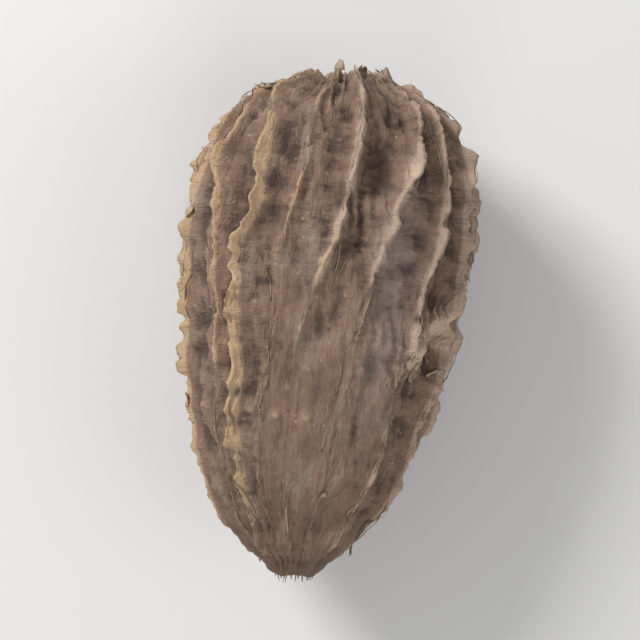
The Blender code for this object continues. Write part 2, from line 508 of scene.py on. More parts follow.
@dataclass(frozen=True)
class FibreFinish:
    """Slightly shiny plant fibre or papery skin, darker in places. Scales are waves to a metre."""

    name: str = "dried_fibre"
    dark: Colour = (0.15, 0.10, 0.065)
    pale: Colour = (0.42, 0.31, 0.21)
    patch_scale: float = 900.0
    patch_span: Span = (0.35, 0.65)
    fine_scale: float = 6000.0
    detail: float = 2.0
    roughness: float = 0.45
    roughness_change: float = 0.3
    bump_strength: float = 0.6
    bump_depth: float = 0.02 * MM

    def material(self) -> bpy.types.Material:
        """Build the fibre's material from its nodes."""
        tree = ShaderTree(self.name)
        place = tree.output("ShaderNodeTexCoord", {}, {}, "Object")
        patch = tree.noise(place, self.patch_scale, self.detail).between(*self.patch_span)
        fine = tree.noise(place, self.fine_scale, self.detail)
        return tree.finish(
            {
                "Base Color": tree.mix(patch, self.dark, self.pale),
                "Roughness": fine * self.roughness_change + self.roughness,
                "Normal": tree.bump(fine, self.bump_strength, self.bump_depth),
            }
        )


@dataclass(frozen=True)
class FloorFinish:
    """Plain pale matt board, very faintly clouded. The scale is waves to a metre."""

    shade: Colour = (0.80, 0.79, 0.77)
    cloud: Colour = (0.72, 0.71, 0.69)
    cloud_scale: float = 25.0
    cloud_detail: float = 3.0
    cloud_share: float = 0.12
    roughness: float = 0.9

    def material(self) -> bpy.types.Material:
        """Build the board's material from its nodes."""
        tree = ShaderTree("pale_board")
        place = tree.output("ShaderNodeTexCoord", {}, {}, "Object")
        cloud = tree.noise(place, self.cloud_scale, self.cloud_detail) * self.cloud_share
        return tree.finish(
            {"Base Color": tree.mix(cloud, self.shade, self.cloud), "Roughness": self.roughness}
        )


class End(Enum):
    """The pod's two ends."""

    STALK = -1
    CALYX = 1


@dataclass(frozen=True)
class OutlineSpot:
    """One place on the body's outline, before any relief.

    Attributes:
        place: Distance along the axis from the widest place, towards the calyx.
        radius: Distance from the axis.
        out_along: The outward direction's part along the axis.
        out_across: The outward direction's part away from the axis.
        walked: Distance along the skin from the stalk end.
    """

    place: float
    radius: float
    out_along: float
    out_across: float
    walked: float


@dataclass
class BodyOutline:
    """The egg-shaped body under the ridges, narrow at the stalk and blunt at the calyx."""

    stalk_half: float = 20.3 * MM
    calyx_half: float = 13.9 * MM
    half_width: float = 9.1 * MM
    half_depth: float = 8.7 * MM
    stalk_fullness: float = 1.95
    calyx_fullness: float = 3.7
    corner_share: float = 0.03
    corner_angle: float = math.radians(45)
    rest_drop: float = 8.9 * MM
    middle: Vector = field(default_factory=lambda: Vector((0.06 * MM, 2.45 * MM, 0.0)))
    end_radius: float = 4.2 * MM
    end_crowding: float = 1.6
    samples: int = 2400

    def __post_init__(self) -> None:
        """Walk the outline once and keep its rows for reading at any share of the way."""
        turn = np.linspace(0, math.pi, self.samples)
        cosine = np.abs(np.cos(turn))
        nearer_stalk = turn < math.pi / 2
        half = np.where(nearer_stalk, self.stalk_half, self.calyx_half)
        fullness = np.where(nearer_stalk, self.stalk_fullness, self.calyx_fullness)
        place = half * cosine * np.where(nearer_stalk, -1, 1)
        radius = self.half_width * np.clip(1 - cosine**fullness, 0, 1) ** (1 / fullness)
        step = np.hypot(np.diff(place), np.diff(radius))
        crowding = np.where(radius[1:] < self.end_radius, self.end_crowding, 1)
        crowded = np.concatenate([[0], np.cumsum(step * crowding)])
        walked = np.concatenate([[0], np.cumsum(step)])
        along_axis = np.gradient(place, crowded)
        outwards = np.gradient(radius, crowded)
        length = np.hypot(along_axis, outwards)
        self.shares = crowded / crowded[-1]
        self.rows = (place, radius, -outwards / length, along_axis / length, walked)

    def at(self, along: float) -> OutlineSpot:
        """Return the outline at a share of the way from the stalk end to the calyx end."""
        return OutlineSpot(*(float(np.interp(along, self.shares, row)) for row in self.rows))

    def share(self, place: float) -> float:
        """Return the share of the length that lies between the stalk end and a place on the axis."""
        return (place + self.stalk_half) / (self.stalk_half + self.calyx_half)

    def skin(self, spot: OutlineSpot, angle: float, rise: float) -> Vector:
        """Place a point of the skin.

        Args:
            spot: Where on the outline.
            angle: Angle from straight up, towards +X.
            rise: Height over the body.

        Returns:
            The point, with what lies below the resting plane pressed flat.
        """
        corners = 1 + self.corner_share * math.cos(3 * (angle - self.corner_angle))
        reach = spot.radius * corners + spot.out_across * rise
        x = reach * math.sin(angle)
        z = reach * math.cos(angle) * self.half_depth / self.half_width
        place = spot.place + spot.out_along * rise
        return Vector((x, place, max(z, -self.rest_drop) + self.rest_drop)) + self.middle

    def outward(self, spot: OutlineSpot, angle: float) -> Vector:
        """Return the direction straight out of the body at a spot and an angle."""
        across = spot.out_across
        return Vector((across * math.sin(angle), spot.out_along, across * math.cos(angle)))


@dataclass(frozen=True)
class Ridge:
    """One ridge of the husk.

    Attributes:
        angles: Degrees from straight up, towards +X, at each station.
        heights: Millimetres above the skin, at each station.
        wear_and_highlight: How wide its pale crest edge is, partly wear and partly painted highlight, beside
            the others'.
    """

    angles: tuple[float, ...]
    heights: tuple[float, ...]
    wear_and_highlight: float = 1.0


@dataclass(frozen=True)
class Crest:
    """A ridge's crest on one ring around the pod: its angle, height, sideways lean and the width of its pale
    edge, partly wear and partly painted highlight.
    """

    angle: float
    height: float
    lean: float
    wear_and_highlight: float


@dataclass(frozen=True)
class Ripple:
    """A to and fro along every ridge, different on each.

    Attributes:
        pitch: Length of a wave along the pod.
        step: How far apart two neighbouring ridges read the noise.
        row: Row of the noise, which no other ripple reads.
    """

    pitch: float
    step: float
    row: float

    def at(self, place: float, number: int, stretch: float = 1.0) -> float:
        """Return the ripple between -1 and 1 at a place on a ridge, with its waves stretched."""
        return wave(place / (self.pitch * stretch), self.step * number, self.row)


@dataclass
class RidgeSet:
    """The seventeen ridges of the husk, their jagged crests and the way that they wander."""

    stations: tuple[float, ...] = (0.0, 0.3, 0.55, 0.8, 1.0)
    upper: tuple[Ridge, ...] = (
        Ridge((-72, -79, -82, -78, -74), (0.3, 0.9, 1.0, 0.7, 0.6)),
        Ridge((-50, -47, -49, -56, -58), (0.1, 0.2, 0.5, 0.9, 0.6), 0.65),
        Ridge((-36, -38, -39, -35, -42), (0.3, 0.8, 1.2, 1.1, 0.8), 2.0),
        Ridge((-22, -26, -22, -16, -14), (0.1, 0.1, 0.1, 0.35, 0.5)),
        Ridge((-8, -10, -6, 5, 14), (0.1, 0.05, 0.4, 1.1, 0.7)),
        Ridge((10, 13, 19, 31, 44), (0.1, 0.05, 0.3, 1.1, 0.8)),
        Ridge((32, 38, 43, 52, 59), (0.2, 0.4, 0.8, 0.9, 0.7)),
        Ridge((58, 66, 66, 67, 76), (0.3, 0.9, 1.2, 1.3, 0.8)),
        Ridge((86, 92, 91, 89, 96), (0.2, 0.7, 0.9, 0.9, 0.7)),
    )
    lower_count: int = 8
    lower_heights: tuple[float, ...] = (0.2, 0.7, 0.9, 1.0, 0.7)
    lower_scatter: float = 5.0
    lower_height_scatter: float = 0.55
    thin_share: float = 0.65
    thin_width: float = 0.30 * MM
    foot_width: float = 1.1 * MM
    wander: float = math.radians(4.5)
    wander_pitch: float = 4.5 * MM
    wander_turns: float = 2.2
    notch: Ripple = Ripple(1.9 * MM, 3.1, 4.5)
    notch_span: Span = (-0.3, 0.5)
    notch_top: float = 1.1
    notch_depth: float = 0.5
    notch_scatter: float = 0.35
    notch_scatter_step: float = 2.4
    tooth: Ripple = Ripple(0.62 * MM, 5.7, 9.5)
    tooth_depth: float = 0.2
    tear: Ripple = Ripple(1.25 * MM, 2.3, 14.5)
    tear_span: Span = (0.25, 0.45)
    tear_depth: float = 0.4
    lean: Ripple = Ripple(3.2 * MM, 1.9, 8.5)
    lean_share: float = 0.6
    curl: Ripple = Ripple(1.1 * MM, 4.9, 18.5)
    curl_share: float = 0.45
    lean_room: float = 2.5 * MM
    fade_radius: float = 3.8 * MM
    seed: int = 11

    def __post_init__(self) -> None:
        """Spread the ridges of the underside over the angle that the upper ones leave."""
        draw = random.Random(self.seed)
        self.ridges = list(self.upper)
        first = self.upper[-1].angles
        last = [angle + 360 for angle in self.upper[0].angles]
        scatter = self.lower_height_scatter
        for number in range(1, self.lower_count + 1):
            share = number / (self.lower_count + 1)
            shift = draw.uniform(-self.lower_scatter, self.lower_scatter)
            angles = tuple(a + (b - a) * share + shift for a, b in zip(first, last))
            heights = tuple(height * (1 + draw.uniform(-scatter, scatter)) for height in self.lower_heights)
            self.ridges.append(Ridge(angles, heights))

    def at_station(self, values: Sequence[float], share: float) -> float:
        """Read a smooth curve through one value at each station.

        Args:
            values: The values at the stations.
            share: Share of the pod's length.

        Returns:
            The curve's value there.
        """
        stations = self.stations
        last = len(stations) - 1
        i = min(max(bisect_right(stations, share) - 1, 0), last - 1)

        def slope(n: int) -> float:
            """Return the curve's slope at a station."""
            before, after = max(n - 1, 0), min(n + 1, last)
            return (values[after] - values[before]) / (stations[after] - stations[before])

        span = stations[i + 1] - stations[i]
        t = min(max((share - stations[i]) / span, 0.0), 1.0)
        return (
            values[i] * (2 * t**3 - 3 * t**2 + 1)
            + values[i + 1] * (3 * t**2 - 2 * t**3)
            + slope(i) * span * (t**3 - 2 * t**2 + t)
            + slope(i + 1) * span * (t**3 - t**2)
        )

    def crest(self, number: int, share: float, spot: OutlineSpot) -> Crest:
        """Work out one ridge's crest on one ring around the pod.

        Args:
            number: Which ridge.
            share: Share of the pod's length.
            spot: The ring's place on the outline.

        Returns:
            The crest there, notched, toothed and torn.
        """
        ridge = self.ridges[number]
        place = spot.place
        stretch = 1 + self.notch_scatter * math.sin(self.notch_scatter_step * number)
        notch = smooth_step(*self.notch_span, self.notch.at(place, number, stretch))
        tear = smooth_step(*self.tear_span, self.tear.at(place, number))
        notched = self.notch_top - self.notch_depth * notch
        toothed = 1 + self.tooth_depth * self.tooth.at(place, number)
        jag = notched * toothed * (1 - self.tear_depth * tear)
        fade = smooth_step(0, self.fade_radius, spot.radius)
        height = max(self.at_station(ridge.heights, share), 0.0) * MM * jag * fade
        lean = self.lean_share * self.lean.at(place, number) + self.curl_share * self.curl.at(place, number)
        return Crest(math.radians(self.at_station(ridge.angles, share)), height, lean, ridge.wear_and_highlight)

    def wandered(self, angle: float, place: float) -> float:
        """Shift an angle by an amount that changes slowly, so that no two ridges cross.

        Args:
            angle: The angle from straight up.
            place: Distance along the axis from the widest place.

        Returns:
            The shifted angle.
        """
        turns = self.wander_turns
        shift = wave(turns * math.sin(angle), turns * math.cos(angle), place / self.wander_pitch)
        return angle + self.wander * shift

    def profile(self, distance: float) -> float:
        """Work out how a ridge falls away beside its crest.

        Args:
            distance: Distance along the skin from the crest.

        Returns:
            The share of the ridge's full height that is left there.
        """
        thin = math.exp(-distance / self.thin_width)
        foot = math.exp(-((distance / self.foot_width) ** 2))
        return self.thin_share * thin + (1 - self.thin_share) * foot


@dataclass(frozen=True)
class Folds:
    """One kind of thin wandering folds in the skin.

    Attributes:
        height: Their height, which is negative for grooves.
        width: Their spacing around the pod.
        length: Their spacing along it.
        sharpness: How thin they are.
        shift: How far off the noise is read, in waves, so that no two kinds look alike.
        level: What is taken off, so that the folds stand partly above the skin and partly below it.
    """

    height: float
    width: float
    length: float
    sharpness: int
    shift: tuple[int, int, int] = (0, 0, 0)
    level: float = 0.0

    def at(self, x: float, y: float, z: float) -> float:
        """Work out the rise of the folds at a point of the husk's grain.

        Args:
            x: The point, in metres.
            y: The same, along Y.
            z: The same, along Z.

        Returns:
            The rise there.
        """
        right, ahead, up = self.shift
        x, y, z = x / self.width + right, y / self.length + ahead, z / self.width + up
        return self.height * (crease(x, y, z, self.sharpness) - self.level)


@dataclass(frozen=True)
class Wrinkles:
    """The shrivelled skin between the ridges. Widths run around the pod and lengths along it, in metres."""

    dent_depth: float = 0.7 * MM
    dent_size: float = 7.0 * MM
    lump_height: float = 0.3 * MM
    lump_size: float = 1.7 * MM
    lump_stretch: float = 1.7
    pucker_height: float = 0.35 * MM
    pucker_pitch: float = 1.3 * MM
    pucker_width: float = 3.0 * MM
    hollow_share: float = 0.22
    veins: Folds = Folds(0.28 * MM, 1.25 * MM, 7.0 * MM, 5)
    grooves: Folds = Folds(-0.16 * MM, 0.7 * MM, 4.5 * MM, 6, (40, 0, 0))
    cross_folds: Folds = Folds(0.17 * MM, 1.9 * MM, 0.6 * MM, 3, (0, 70, 0), 0.4)
    cross_share: float = 0.2
    cross_span: Span = (0.1 * MM, 1.2 * MM)
    crumples: Folds = Folds(0.13 * MM, 1.0 * MM, 1.8 * MM, 3, (0, 0, 90), 0.4)
    warp: float = 0.45 * MM
    warp_size: float = 2.0 * MM
    grit_height: float = 0.07 * MM
    grit_size: float = 0.42 * MM
    grit_shift: float = 30.0
    calm_height: float = 0.9 * MM
    calm_share: float = 0.55

    def coarse(self, body: Vector, hollow: float) -> float:
        """Work out the lumps and dents that the solid has too.

        Args:
            body: The point on the body, without relief.
            hollow: Height of the ridges beside the point, times how far it is between them.

        Returns:
            The rise there.
        """
        x, y, z = body / self.lump_size
        lump = wave(x, y / self.lump_stretch, z)
        pucker = wave(body.x / self.pucker_width, body.y / self.pucker_pitch, body.z / self.pucker_width)
        return (
            self.pucker_height * pucker * min(hollow / MM, 1.0)
            + self.lump_height * lump
            + self.dent_depth * wave(*(body / self.dent_size))
            - self.hollow_share * hollow
        )

    def fine(self, grain: Vector, ridges: float) -> float:
        """Work out the veins, grooves, cross wrinkles and grit that only the husk shows.

        Args:
            grain: The point on the husk's own grain, in metres.
            ridges: Height of the ridges beside the point.

        Returns:
            The rise there.
        """
        bend = self.warp * wave(*(grain / self.warp_size))
        x, y, z = grain.x + bend, grain.y + bend, grain.z - bend
        calm = 1 - self.calm_share * (1 - smooth_step(0, self.calm_height, ridges))
        cross = self.cross_share + smooth_step(*self.cross_span, ridges)
        size = self.grit_size
        return (
            self.veins.at(x, y, z) * calm
            + self.grooves.at(x, y, z) * calm
            + self.cross_folds.at(x, y, z) * cross
            + self.crumples.at(x, y, z) * calm
            + self.grit_height * wave(x / size, y / size, z / size + self.grit_shift)
        )


@dataclass(frozen=True)
class Patch:
    """A torn, swollen patch beside the waist, by angle and place, and torn tips, by ridge and place."""

    angle: float = math.radians(50)
    place: float = -3.2 * MM
    along: float = 2.1 * MM
    around: float = 0.9 * MM
    rise: float = 0.55 * MM
    slant: float = 0.8
    torn_shift: float = 0.9 * MM
    torn_width: float = 1.9 * MM
    torn_narrowing: float = 0.8
    raggedness: float = 0.5
    ragged_waves: tuple[float, float, float] = (3.0, 1.8, 6.5)
    tips: tuple[tuple[int, float], ...] = ((7, 8.3 * MM), (5, 8.1 * MM), (2, 0.0))
    tip_reach: float = 0.6 * MM
    tip_paleness: float = 0.8

    def share(self, spot: OutlineSpot, angle: float) -> float:
        """Work out how much of the patch lies at a point.

        Args:
            spot: The point's place on the outline.
            angle: Its angle from straight up, towards +X.

        Returns:
            The share, from 0 to 1.
        """
        along = (spot.place - self.place) / self.along
        around = (angle - self.angle) * spot.radius / self.around
        return math.exp(-(along**2) - around**2)

    def tear(self, spot: OutlineSpot, angle: float) -> float:
        """Work out how torn the skin is, along a slanting, ragged band over the patch.

        Args:
            spot: The point's place on the outline.
            angle: Its angle from straight up, towards +X.

        Returns:
            The share, from 0 to 1.
        """
        along = (spot.place - self.place) / self.along
        around = ((angle - self.angle) * spot.radius - self.torn_shift) / self.torn_width
        lengthwise, crosswise, row = self.ragged_waves
        ragged = self.raggedness * wave(lengthwise * along, crosswise * around, row)
        across = around - self.slant * along + ragged
        return math.exp(-((self.torn_narrowing * along) ** 2) - across**2)

    def tip(self, spot: OutlineSpot, turn: float, room: float) -> float:
        """Work out how much of a torn tip lies at a point.

        Args:
            spot: The point's place on the outline.
            turn: How many ridges around the pod it is.
            room: Distance along the skin from one ridge to the next.

        Returns:
            The share, from 0 to 1.
        """
        reaches = [math.hypot((turn - ridge) * room, spot.place - place) for ridge, place in self.tips]
        return self.tip_paleness * math.exp(-((min(reaches) / self.tip_reach) ** 2))


@dataclass(frozen=True)
class HollowShade:
    """The painted shade along the long hollow to the right of the smooth face, by angle and place."""

    angle: float = math.radians(31)
    place: float = -0.9 * MM
    along: float = 6.8 * MM
    around: float = 1.5 * MM

    def share(self, spot: OutlineSpot, angle: float) -> float:
        """Work out how much of the hollow's painted shade lies at a point.

        Args:
            spot: The point's place on the outline.
            angle: Its angle from straight up, towards +X.

        Returns:
            The share, from 0 to 1.
        """
        along = (spot.place - self.place) / self.along
        around = (angle - self.angle) * spot.radius / self.around
        return math.exp(-(along**4) - around**2)


@dataclass(frozen=True)
class Nubs:
    """Soft raised nubs, each where the upper side has one, tinted pale as a painted highlight.

    Attributes:
        places: For each, how far it is from the axis towards +X, and from the widest place towards the calyx.
        radius: Where a nub has fallen to about a third of its height.
        rise: Its height.
        highlight_paleness: How pale it is, beside a crest, as a painted highlight.
    """

    places: tuple[tuple[float, float], ...] = (
        (-2.4 * MM, -9.2 * MM),
        (-0.3 * MM, -9.2 * MM),
        (-1.9 * MM, -7.3 * MM),
        (-1.7 * MM, 1.8 * MM),
        (0.4 * MM, 10.9 * MM),
        (-3.2 * MM, 12.4 * MM),
    )
    radius: float = 0.32 * MM
    rise: float = 0.2 * MM
    highlight_paleness: float = 0.4

    def share(self, body: Vector) -> float:
        """Work out how much of a nub lies at a point.

        Args:
            body: The point on the body, without relief.

        Returns:
            The share, from 0 to 1.
        """
        if body.z < 0:
            return 0.0
        reach = self.radius**2
        return sum(math.exp(-((body.x - x) ** 2 + (body.y - y) ** 2) / reach) for x, y in self.places)


@dataclass(frozen=True)
class Ends:
    """The ragged calyx ring with the pit inside it, and the stub of the stalk with its scar."""

    calyx_radius: float = 2.7 * MM
    calyx_wall: float = 0.6 * MM
    calyx_rise: float = 0.55 * MM
    calyx_pit: float = 0.7 * MM
    calyx_teeth: float = 4.5
    calyx_row: float = 2.5
    calyx_floor: float = 0.5
    stalk_radius: float = 2.1 * MM
    stalk_rise: float = 0.5 * MM
    stalk_pit: float = 0.5 * MM
    stalk_pit_edge: float = 0.7
    stalk_shoulder: Span = (0.6, 1.2)
    bundle_count: float = 7.0
    bundle_rise: float = 0.12 * MM
    bundle_edge: float = 0.7
    bundle_row: float = 5.5
    scar_core: float = 0.3 * MM
    scar_edge: float = 1.3 * MM
    scar_paleness: float = 0.6

    def relief(self, spot: OutlineSpot, angle: float) -> float:
        """Work out the rise of an end's own shape.

        Args:
            spot: The point's place on the outline.
            angle: Its angle from straight up, towards +X.

        Returns:
            The rise there.
        """
        radius = spot.radius
        if spot.place < 0:
            edge = self.stalk_radius
            inner, outer = self.stalk_shoulder
            stub = self.stalk_rise * (1 - smooth_step(inner * edge, outer * edge, radius))
            scar = self.stalk_pit * (1 - smooth_step(0, self.stalk_pit_edge * edge, radius))
            return stub - scar
        around = self.calyx_teeth * math.sin(angle), self.calyx_teeth * math.cos(angle)
        teeth = 1 + wave(*around, self.calyx_row)
        wall = math.exp(-(((radius - self.calyx_radius) / self.calyx_wall) ** 2))
        inside = 1 - smooth_step(self.calyx_floor * self.calyx_radius, self.calyx_radius, radius)
        return self.calyx_rise * teeth * wall - self.calyx_pit * inside

    def scar(self, spot: OutlineSpot) -> float:
        """Work out how much of the stalk's pale scar lies at a point.

        Args:
            spot: The point's place on the outline.

        Returns:
            The share, from 0 to 1.
        """
        if spot.place > 0:
            return 0.0
        return self.scar_paleness * (1 - smooth_step(self.scar_core, self.scar_edge, spot.radius))

    def bundles(self, spot: OutlineSpot, angle: float) -> float:
        """Work out the rise of the cut fibre bundles inside the ring or the scar.

        Args:
            spot: The point's place on the outline.
            angle: Its angle from straight up, towards +X.

        Returns:
            The rise there.
        """
        edge = self.stalk_radius if spot.place < 0 else self.calyx_radius
        inside = 1 - smooth_step(self.bundle_edge * edge, edge, spot.radius)
        scale = self.bundle_count / edge
        x, z = spot.radius * math.sin(angle) * scale / 2, spot.radius * math.cos(angle) * scale / 2
        return self.bundle_rise * wave(x, z, self.bundle_row) * inside


@dataclass(frozen=True)
class HuskSpot:
    """A point of the husk and what it is like there.

    Attributes:
        point: Where it is.
        rise: Its height over the body.
        grain: Its place on the husk's grain, in metres: around the pod in X and Z, and along it in Y.
        crest: How pale it is as a crest or a nub, from 0 to 1: partly wear and partly painted highlight,
            dimmed by painted shade near the calyx end.
        tear: How torn it is, from 0 to 1.
        folds: How much it lies among ridges, from 0 on the smooth face to 1.
        hollow_shade: How much of the long hollow's painted shade lies on it, from 0 to 1.
        out: The direction straight out of the body.
    """

    point: Vector
    rise: float
    grain: Vector
    crest: float
    tear: float
    folds: float
    hollow_shade: float
    out: Vector


@dataclass
class Husk:
    """The pod's whole skin, as one closed mesh with an edge along every crest."""

    outline: BodyOutline = field(default_factory=BodyOutline)
    ridges: RidgeSet = field(default_factory=RidgeSet)
    wrinkles: Wrinkles = field(default_factory=Wrinkles)
    patch: Patch = field(default_factory=Patch)
    hollow: HollowShade = field(default_factory=HollowShade)
    nubs: Nubs = field(default_factory=Nubs)
    ends: Ends = field(default_factory=Ends)
    finish: HuskFinish = field(default_factory=HuskFinish)
    columns_per_ridge: int = 22
    rings: int = 254
    crest_crowding: float = 0.4
    grain_radius: float = 9.0 * MM
    wear_and_highlight_width: float = 0.26 * MM
    wrinkled_radius: float = 2.5 * MM
    tall: Span = (0.12 * MM, 0.7 * MM)
    folded: Span = (0.1 * MM, 0.9 * MM)
    # painted shade: the crests' pale colour fades over this span towards the calyx end
    calyx_shade_span: Span = (8.5 * MM, 12.0 * MM)
    calyx_shade_depth: float = 0.75
    relief_reach: int = 7
    relief_scale: float = 0.42 * MM

    @property
    def columns(self) -> int:
        """The number of columns around the pod."""
        return self.columns_per_ridge * len(self.ridges.ridges)

    def ring(self, along: float, arounds: Iterable[float]) -> list[HuskSpot]:
        """Work out the husk on one ring around the pod.

        Args:
            along: Share of the way along the skin from the stalk end to the calyx end.
            arounds: Shares of the way around, counted in ridges.

        Returns:
            The husk at each of the shares around.
        """
        spot = self.outline.at(along)
        share = self.outline.share(spot.place)
        count = len(self.ridges.ridges)
        crests = [self.ridges.crest(number, share, spot) for number in range(count)]
        return [self._spot(spot, crests, around * count) for around in arounds]

    def _spot(self, spot: OutlineSpot, crests: list[Crest], turn: float) -> HuskSpot:
        """Work out the husk at one point of a ring.

        Args:
            spot: The ring's place on the outline.
            crests: The ring's crests.
            turn: How many ridges around the pod the point is.

        Returns:
            The husk there.
        """
        whole, t = divmod(turn, 1)
        left = crests[int(whole) % len(crests)]
        right = crests[(int(whole) + 1) % len(crests)]
        across = t - self.crest_crowding * math.sin(2 * math.pi * t) / (2 * math.pi)
        span = (right.angle - left.angle) % (2 * math.pi)
        angle = self.ridges.wandered(left.angle + span * across, spot.place)
        room = span * spot.radius
        swell_left = left.height * self.ridges.profile(room * across)
        swell_right = right.height * self.ridges.profile(room * (1 - across))
        beside = left.height + right.height
        body = Vector((spot.radius * math.sin(angle), spot.place, spot.radius * math.cos(angle)))
        grain = Vector(
            (self.grain_radius * math.sin(angle), spot.walked, self.grain_radius * math.cos(angle))
        )
        nub = self.nubs.share(body)
        rise = (
            swell_left
            + swell_right
            + self.wrinkles.coarse(body, beside * math.sin(math.pi * across))
            + self.wrinkles.fine(grain, beside) * smooth_step(0, self.wrinkled_radius, spot.radius)
            + self.patch.rise * self.patch.share(spot, angle)
            + self.nubs.rise * nub
            + self.ends.relief(spot, angle)
            + self.ends.bundles(spot, angle)
        )
        lean = (left.lean * swell_left + right.lean * swell_right) * min(room / self.ridges.lean_room, 1.0)
        angle += lean / max(spot.radius, self.ridges.fade_radius)
        nearest = left if across < 0.5 else right
        # the pale crest edge: partly wear, partly painted highlight
        wear_and_highlight_width = self.wear_and_highlight_width * nearest.wear_and_highlight
        near = math.exp(-((room * min(across, 1 - across) / wear_and_highlight_width) ** 2))
        tall = smooth_step(*self.tall, nearest.height)
        # painted shade that dims the crests towards the calyx end
        unshaded = 1 - self.calyx_shade_depth * smooth_step(*self.calyx_shade_span, spot.place)
        return HuskSpot(
            point=self.outline.skin(spot, angle, rise),
            rise=rise,
            grain=grain,
            # the nubs' pale tint is a painted highlight
            crest=max(near * tall * unshaded, self.nubs.highlight_paleness * nub),
            tear=max(
                self.patch.tear(spot, angle),
                self.patch.tip(spot, whole + across, room),
                self.ends.scar(spot),
            ),
            folds=smooth_step(*self.folded, beside),
            # painted shade of the long hollow
            hollow_shade=self.hollow.share(spot, angle),
            out=self.outline.outward(spot, angle),
        )

    def spot(self, along: float, around: float) -> HuskSpot:
        """Return the husk at a share of the way along it and a share of the way around it."""
        return self.ring(min(max(along, 0.0), 1.0), [around % 1.0])[0]

    def _relief_map(self, grid: list[list[HuskSpot]]) -> np.ndarray:
        """Compare each point's rise with the mean of its surroundings, for the painted shade in hollows and
        the painted highlight on raised skin.

        Args:
            grid: The husk's spots, ring by ring.

        Returns:
            For each spot 0 where it lies well below its surroundings, 0.5 on even skin and 1 on a sharp
            crest.
        """
        rise = np.array([[spot.rise for spot in row] for row in grid])
        mean = rise.copy()
        reach = self.relief_reach
        for axis, wrap in ((1, True), (0, False)):
            padding = [(0, 0), (0, 0)]
            padding[axis] = (reach, reach)
            padded = np.pad(mean, padding, mode="wrap" if wrap else "edge")
            windows = np.lib.stride_tricks.sliding_window_view(padded, 2 * reach + 1, axis=axis)
            mean = windows.mean(axis=-1)
        return np.clip(0.5 + (rise - mean) / (2 * self.relief_scale), 0, 1)

    def build(self) -> bpy.types.Object:
        """Draw the husk out from a sphere whose poles become the pod's two ends."""
        columns = self.columns
        arounds = [column / columns for column in range(columns)]
        grid = [self.ring(ring / self.rings, arounds) for ring in range(self.rings + 1)]
        relief = self._relief_map(grid)
        skin = bmesh.new()
        bmesh.ops.create_uvsphere(skin, u_segments=columns, v_segments=self.rings, radius=1.0)
        grain_layer = skin.verts.layers.float_vector.new("grain")
        relief_crest_tear_layer = skin.verts.layers.float_vector.new("relief_crest_tear")
        folds_layer = skin.verts.layers.float.new("folds")
        hollow_shade_layer = skin.verts.layers.float.new("hollow_shade")
        quarter = columns / 4  # the sphere's first column lies a quarter turn round, between two whole ones
        for vertex in skin.verts:
            ring = round((1 - math.acos(min(max(vertex.co.z, -1.0), 1.0)) / math.pi) * self.rings)
            turn = math.atan2(vertex.co.y, vertex.co.x) / (2 * math.pi)
            column = round(turn * columns - quarter) % columns
            spot = grid[ring][column]
            vertex.co = spot.point
            vertex[grain_layer] = spot.grain / MM
            vertex[relief_crest_tear_layer] = (relief[ring][column], spot.crest, spot.tear)
            vertex[folds_layer] = spot.folds
            vertex[hollow_shade_layer] = spot.hollow_shade
        skin.normal_update()
        bmesh.ops.recalc_face_normals(skin, faces=skin.faces)
        piece = new_piece("husk", skin, self.finish.material())
        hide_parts("pod")
        return piece


def new_piece(name: str, shape: bmesh.types.BMesh, material: bpy.types.Material) -> bpy.types.Object:
    """Make a finished piece that rides on the pod.

    Args:
        name: The piece's name.
        shape: Its mesh, in the pod's frame, which is freed.
        material: Its material.

    Returns:
        The piece's object, at the origin.
    """
    mesh = bpy.data.meshes.new(name)
    shape.to_mesh(mesh)
    shape.free()
    mesh.shade_smooth()
    mesh.materials.append(material)
    piece = bpy.data.objects.new(name, mesh)
    bpy.context.scene.collection.objects.link(piece)
    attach(piece, "root")
    return piece


def add_strand(shape: bmesh.types.BMesh, path: Sequence[Vector], radius: float) -> None:
    """Add a strand that follows a path and tapers towards its far end.

    Args:
        shape: The mesh that gets the strand.
        path: Points along the strand's middle.
        radius: Its radius at the first point.
    """
    first = len(shape.verts)
    first_edge = len(shape.edges)
    bmesh.ops.create_cone(
        shape, cap_ends=True, segments=STRAND_SIDES, radius1=1.0, radius2=STRAND_TIP, depth=1.0
    )
    shape.edges.ensure_lookup_table()
    edges = shape.edges[first_edge:]
    lengthwise = [edge for edge in edges if abs(edge.verts[0].co.z - edge.verts[1].co.z) > 0.5]
    bmesh.ops.subdivide_edges(shape, edges=lengthwise, cuts=len(path) - 2, use_grid_fill=True)
    shape.verts.ensure_lookup_table()
    last = len(path) - 1
    for index in range(first, len(shape.verts)):
        vertex = shape.verts[index]
        step = min(max(round((vertex.co.z + 0.5) * last), 0), last)
        ahead = (path[min(step + 1, last)] - path[max(step - 1, 0)]).normalized()
        turn = Vector((0, 0, 1)).rotation_difference(ahead)
        across = turn @ Vector((vertex.co.x, vertex.co.y, 0)) * radius
        vertex.co = path[step] + across


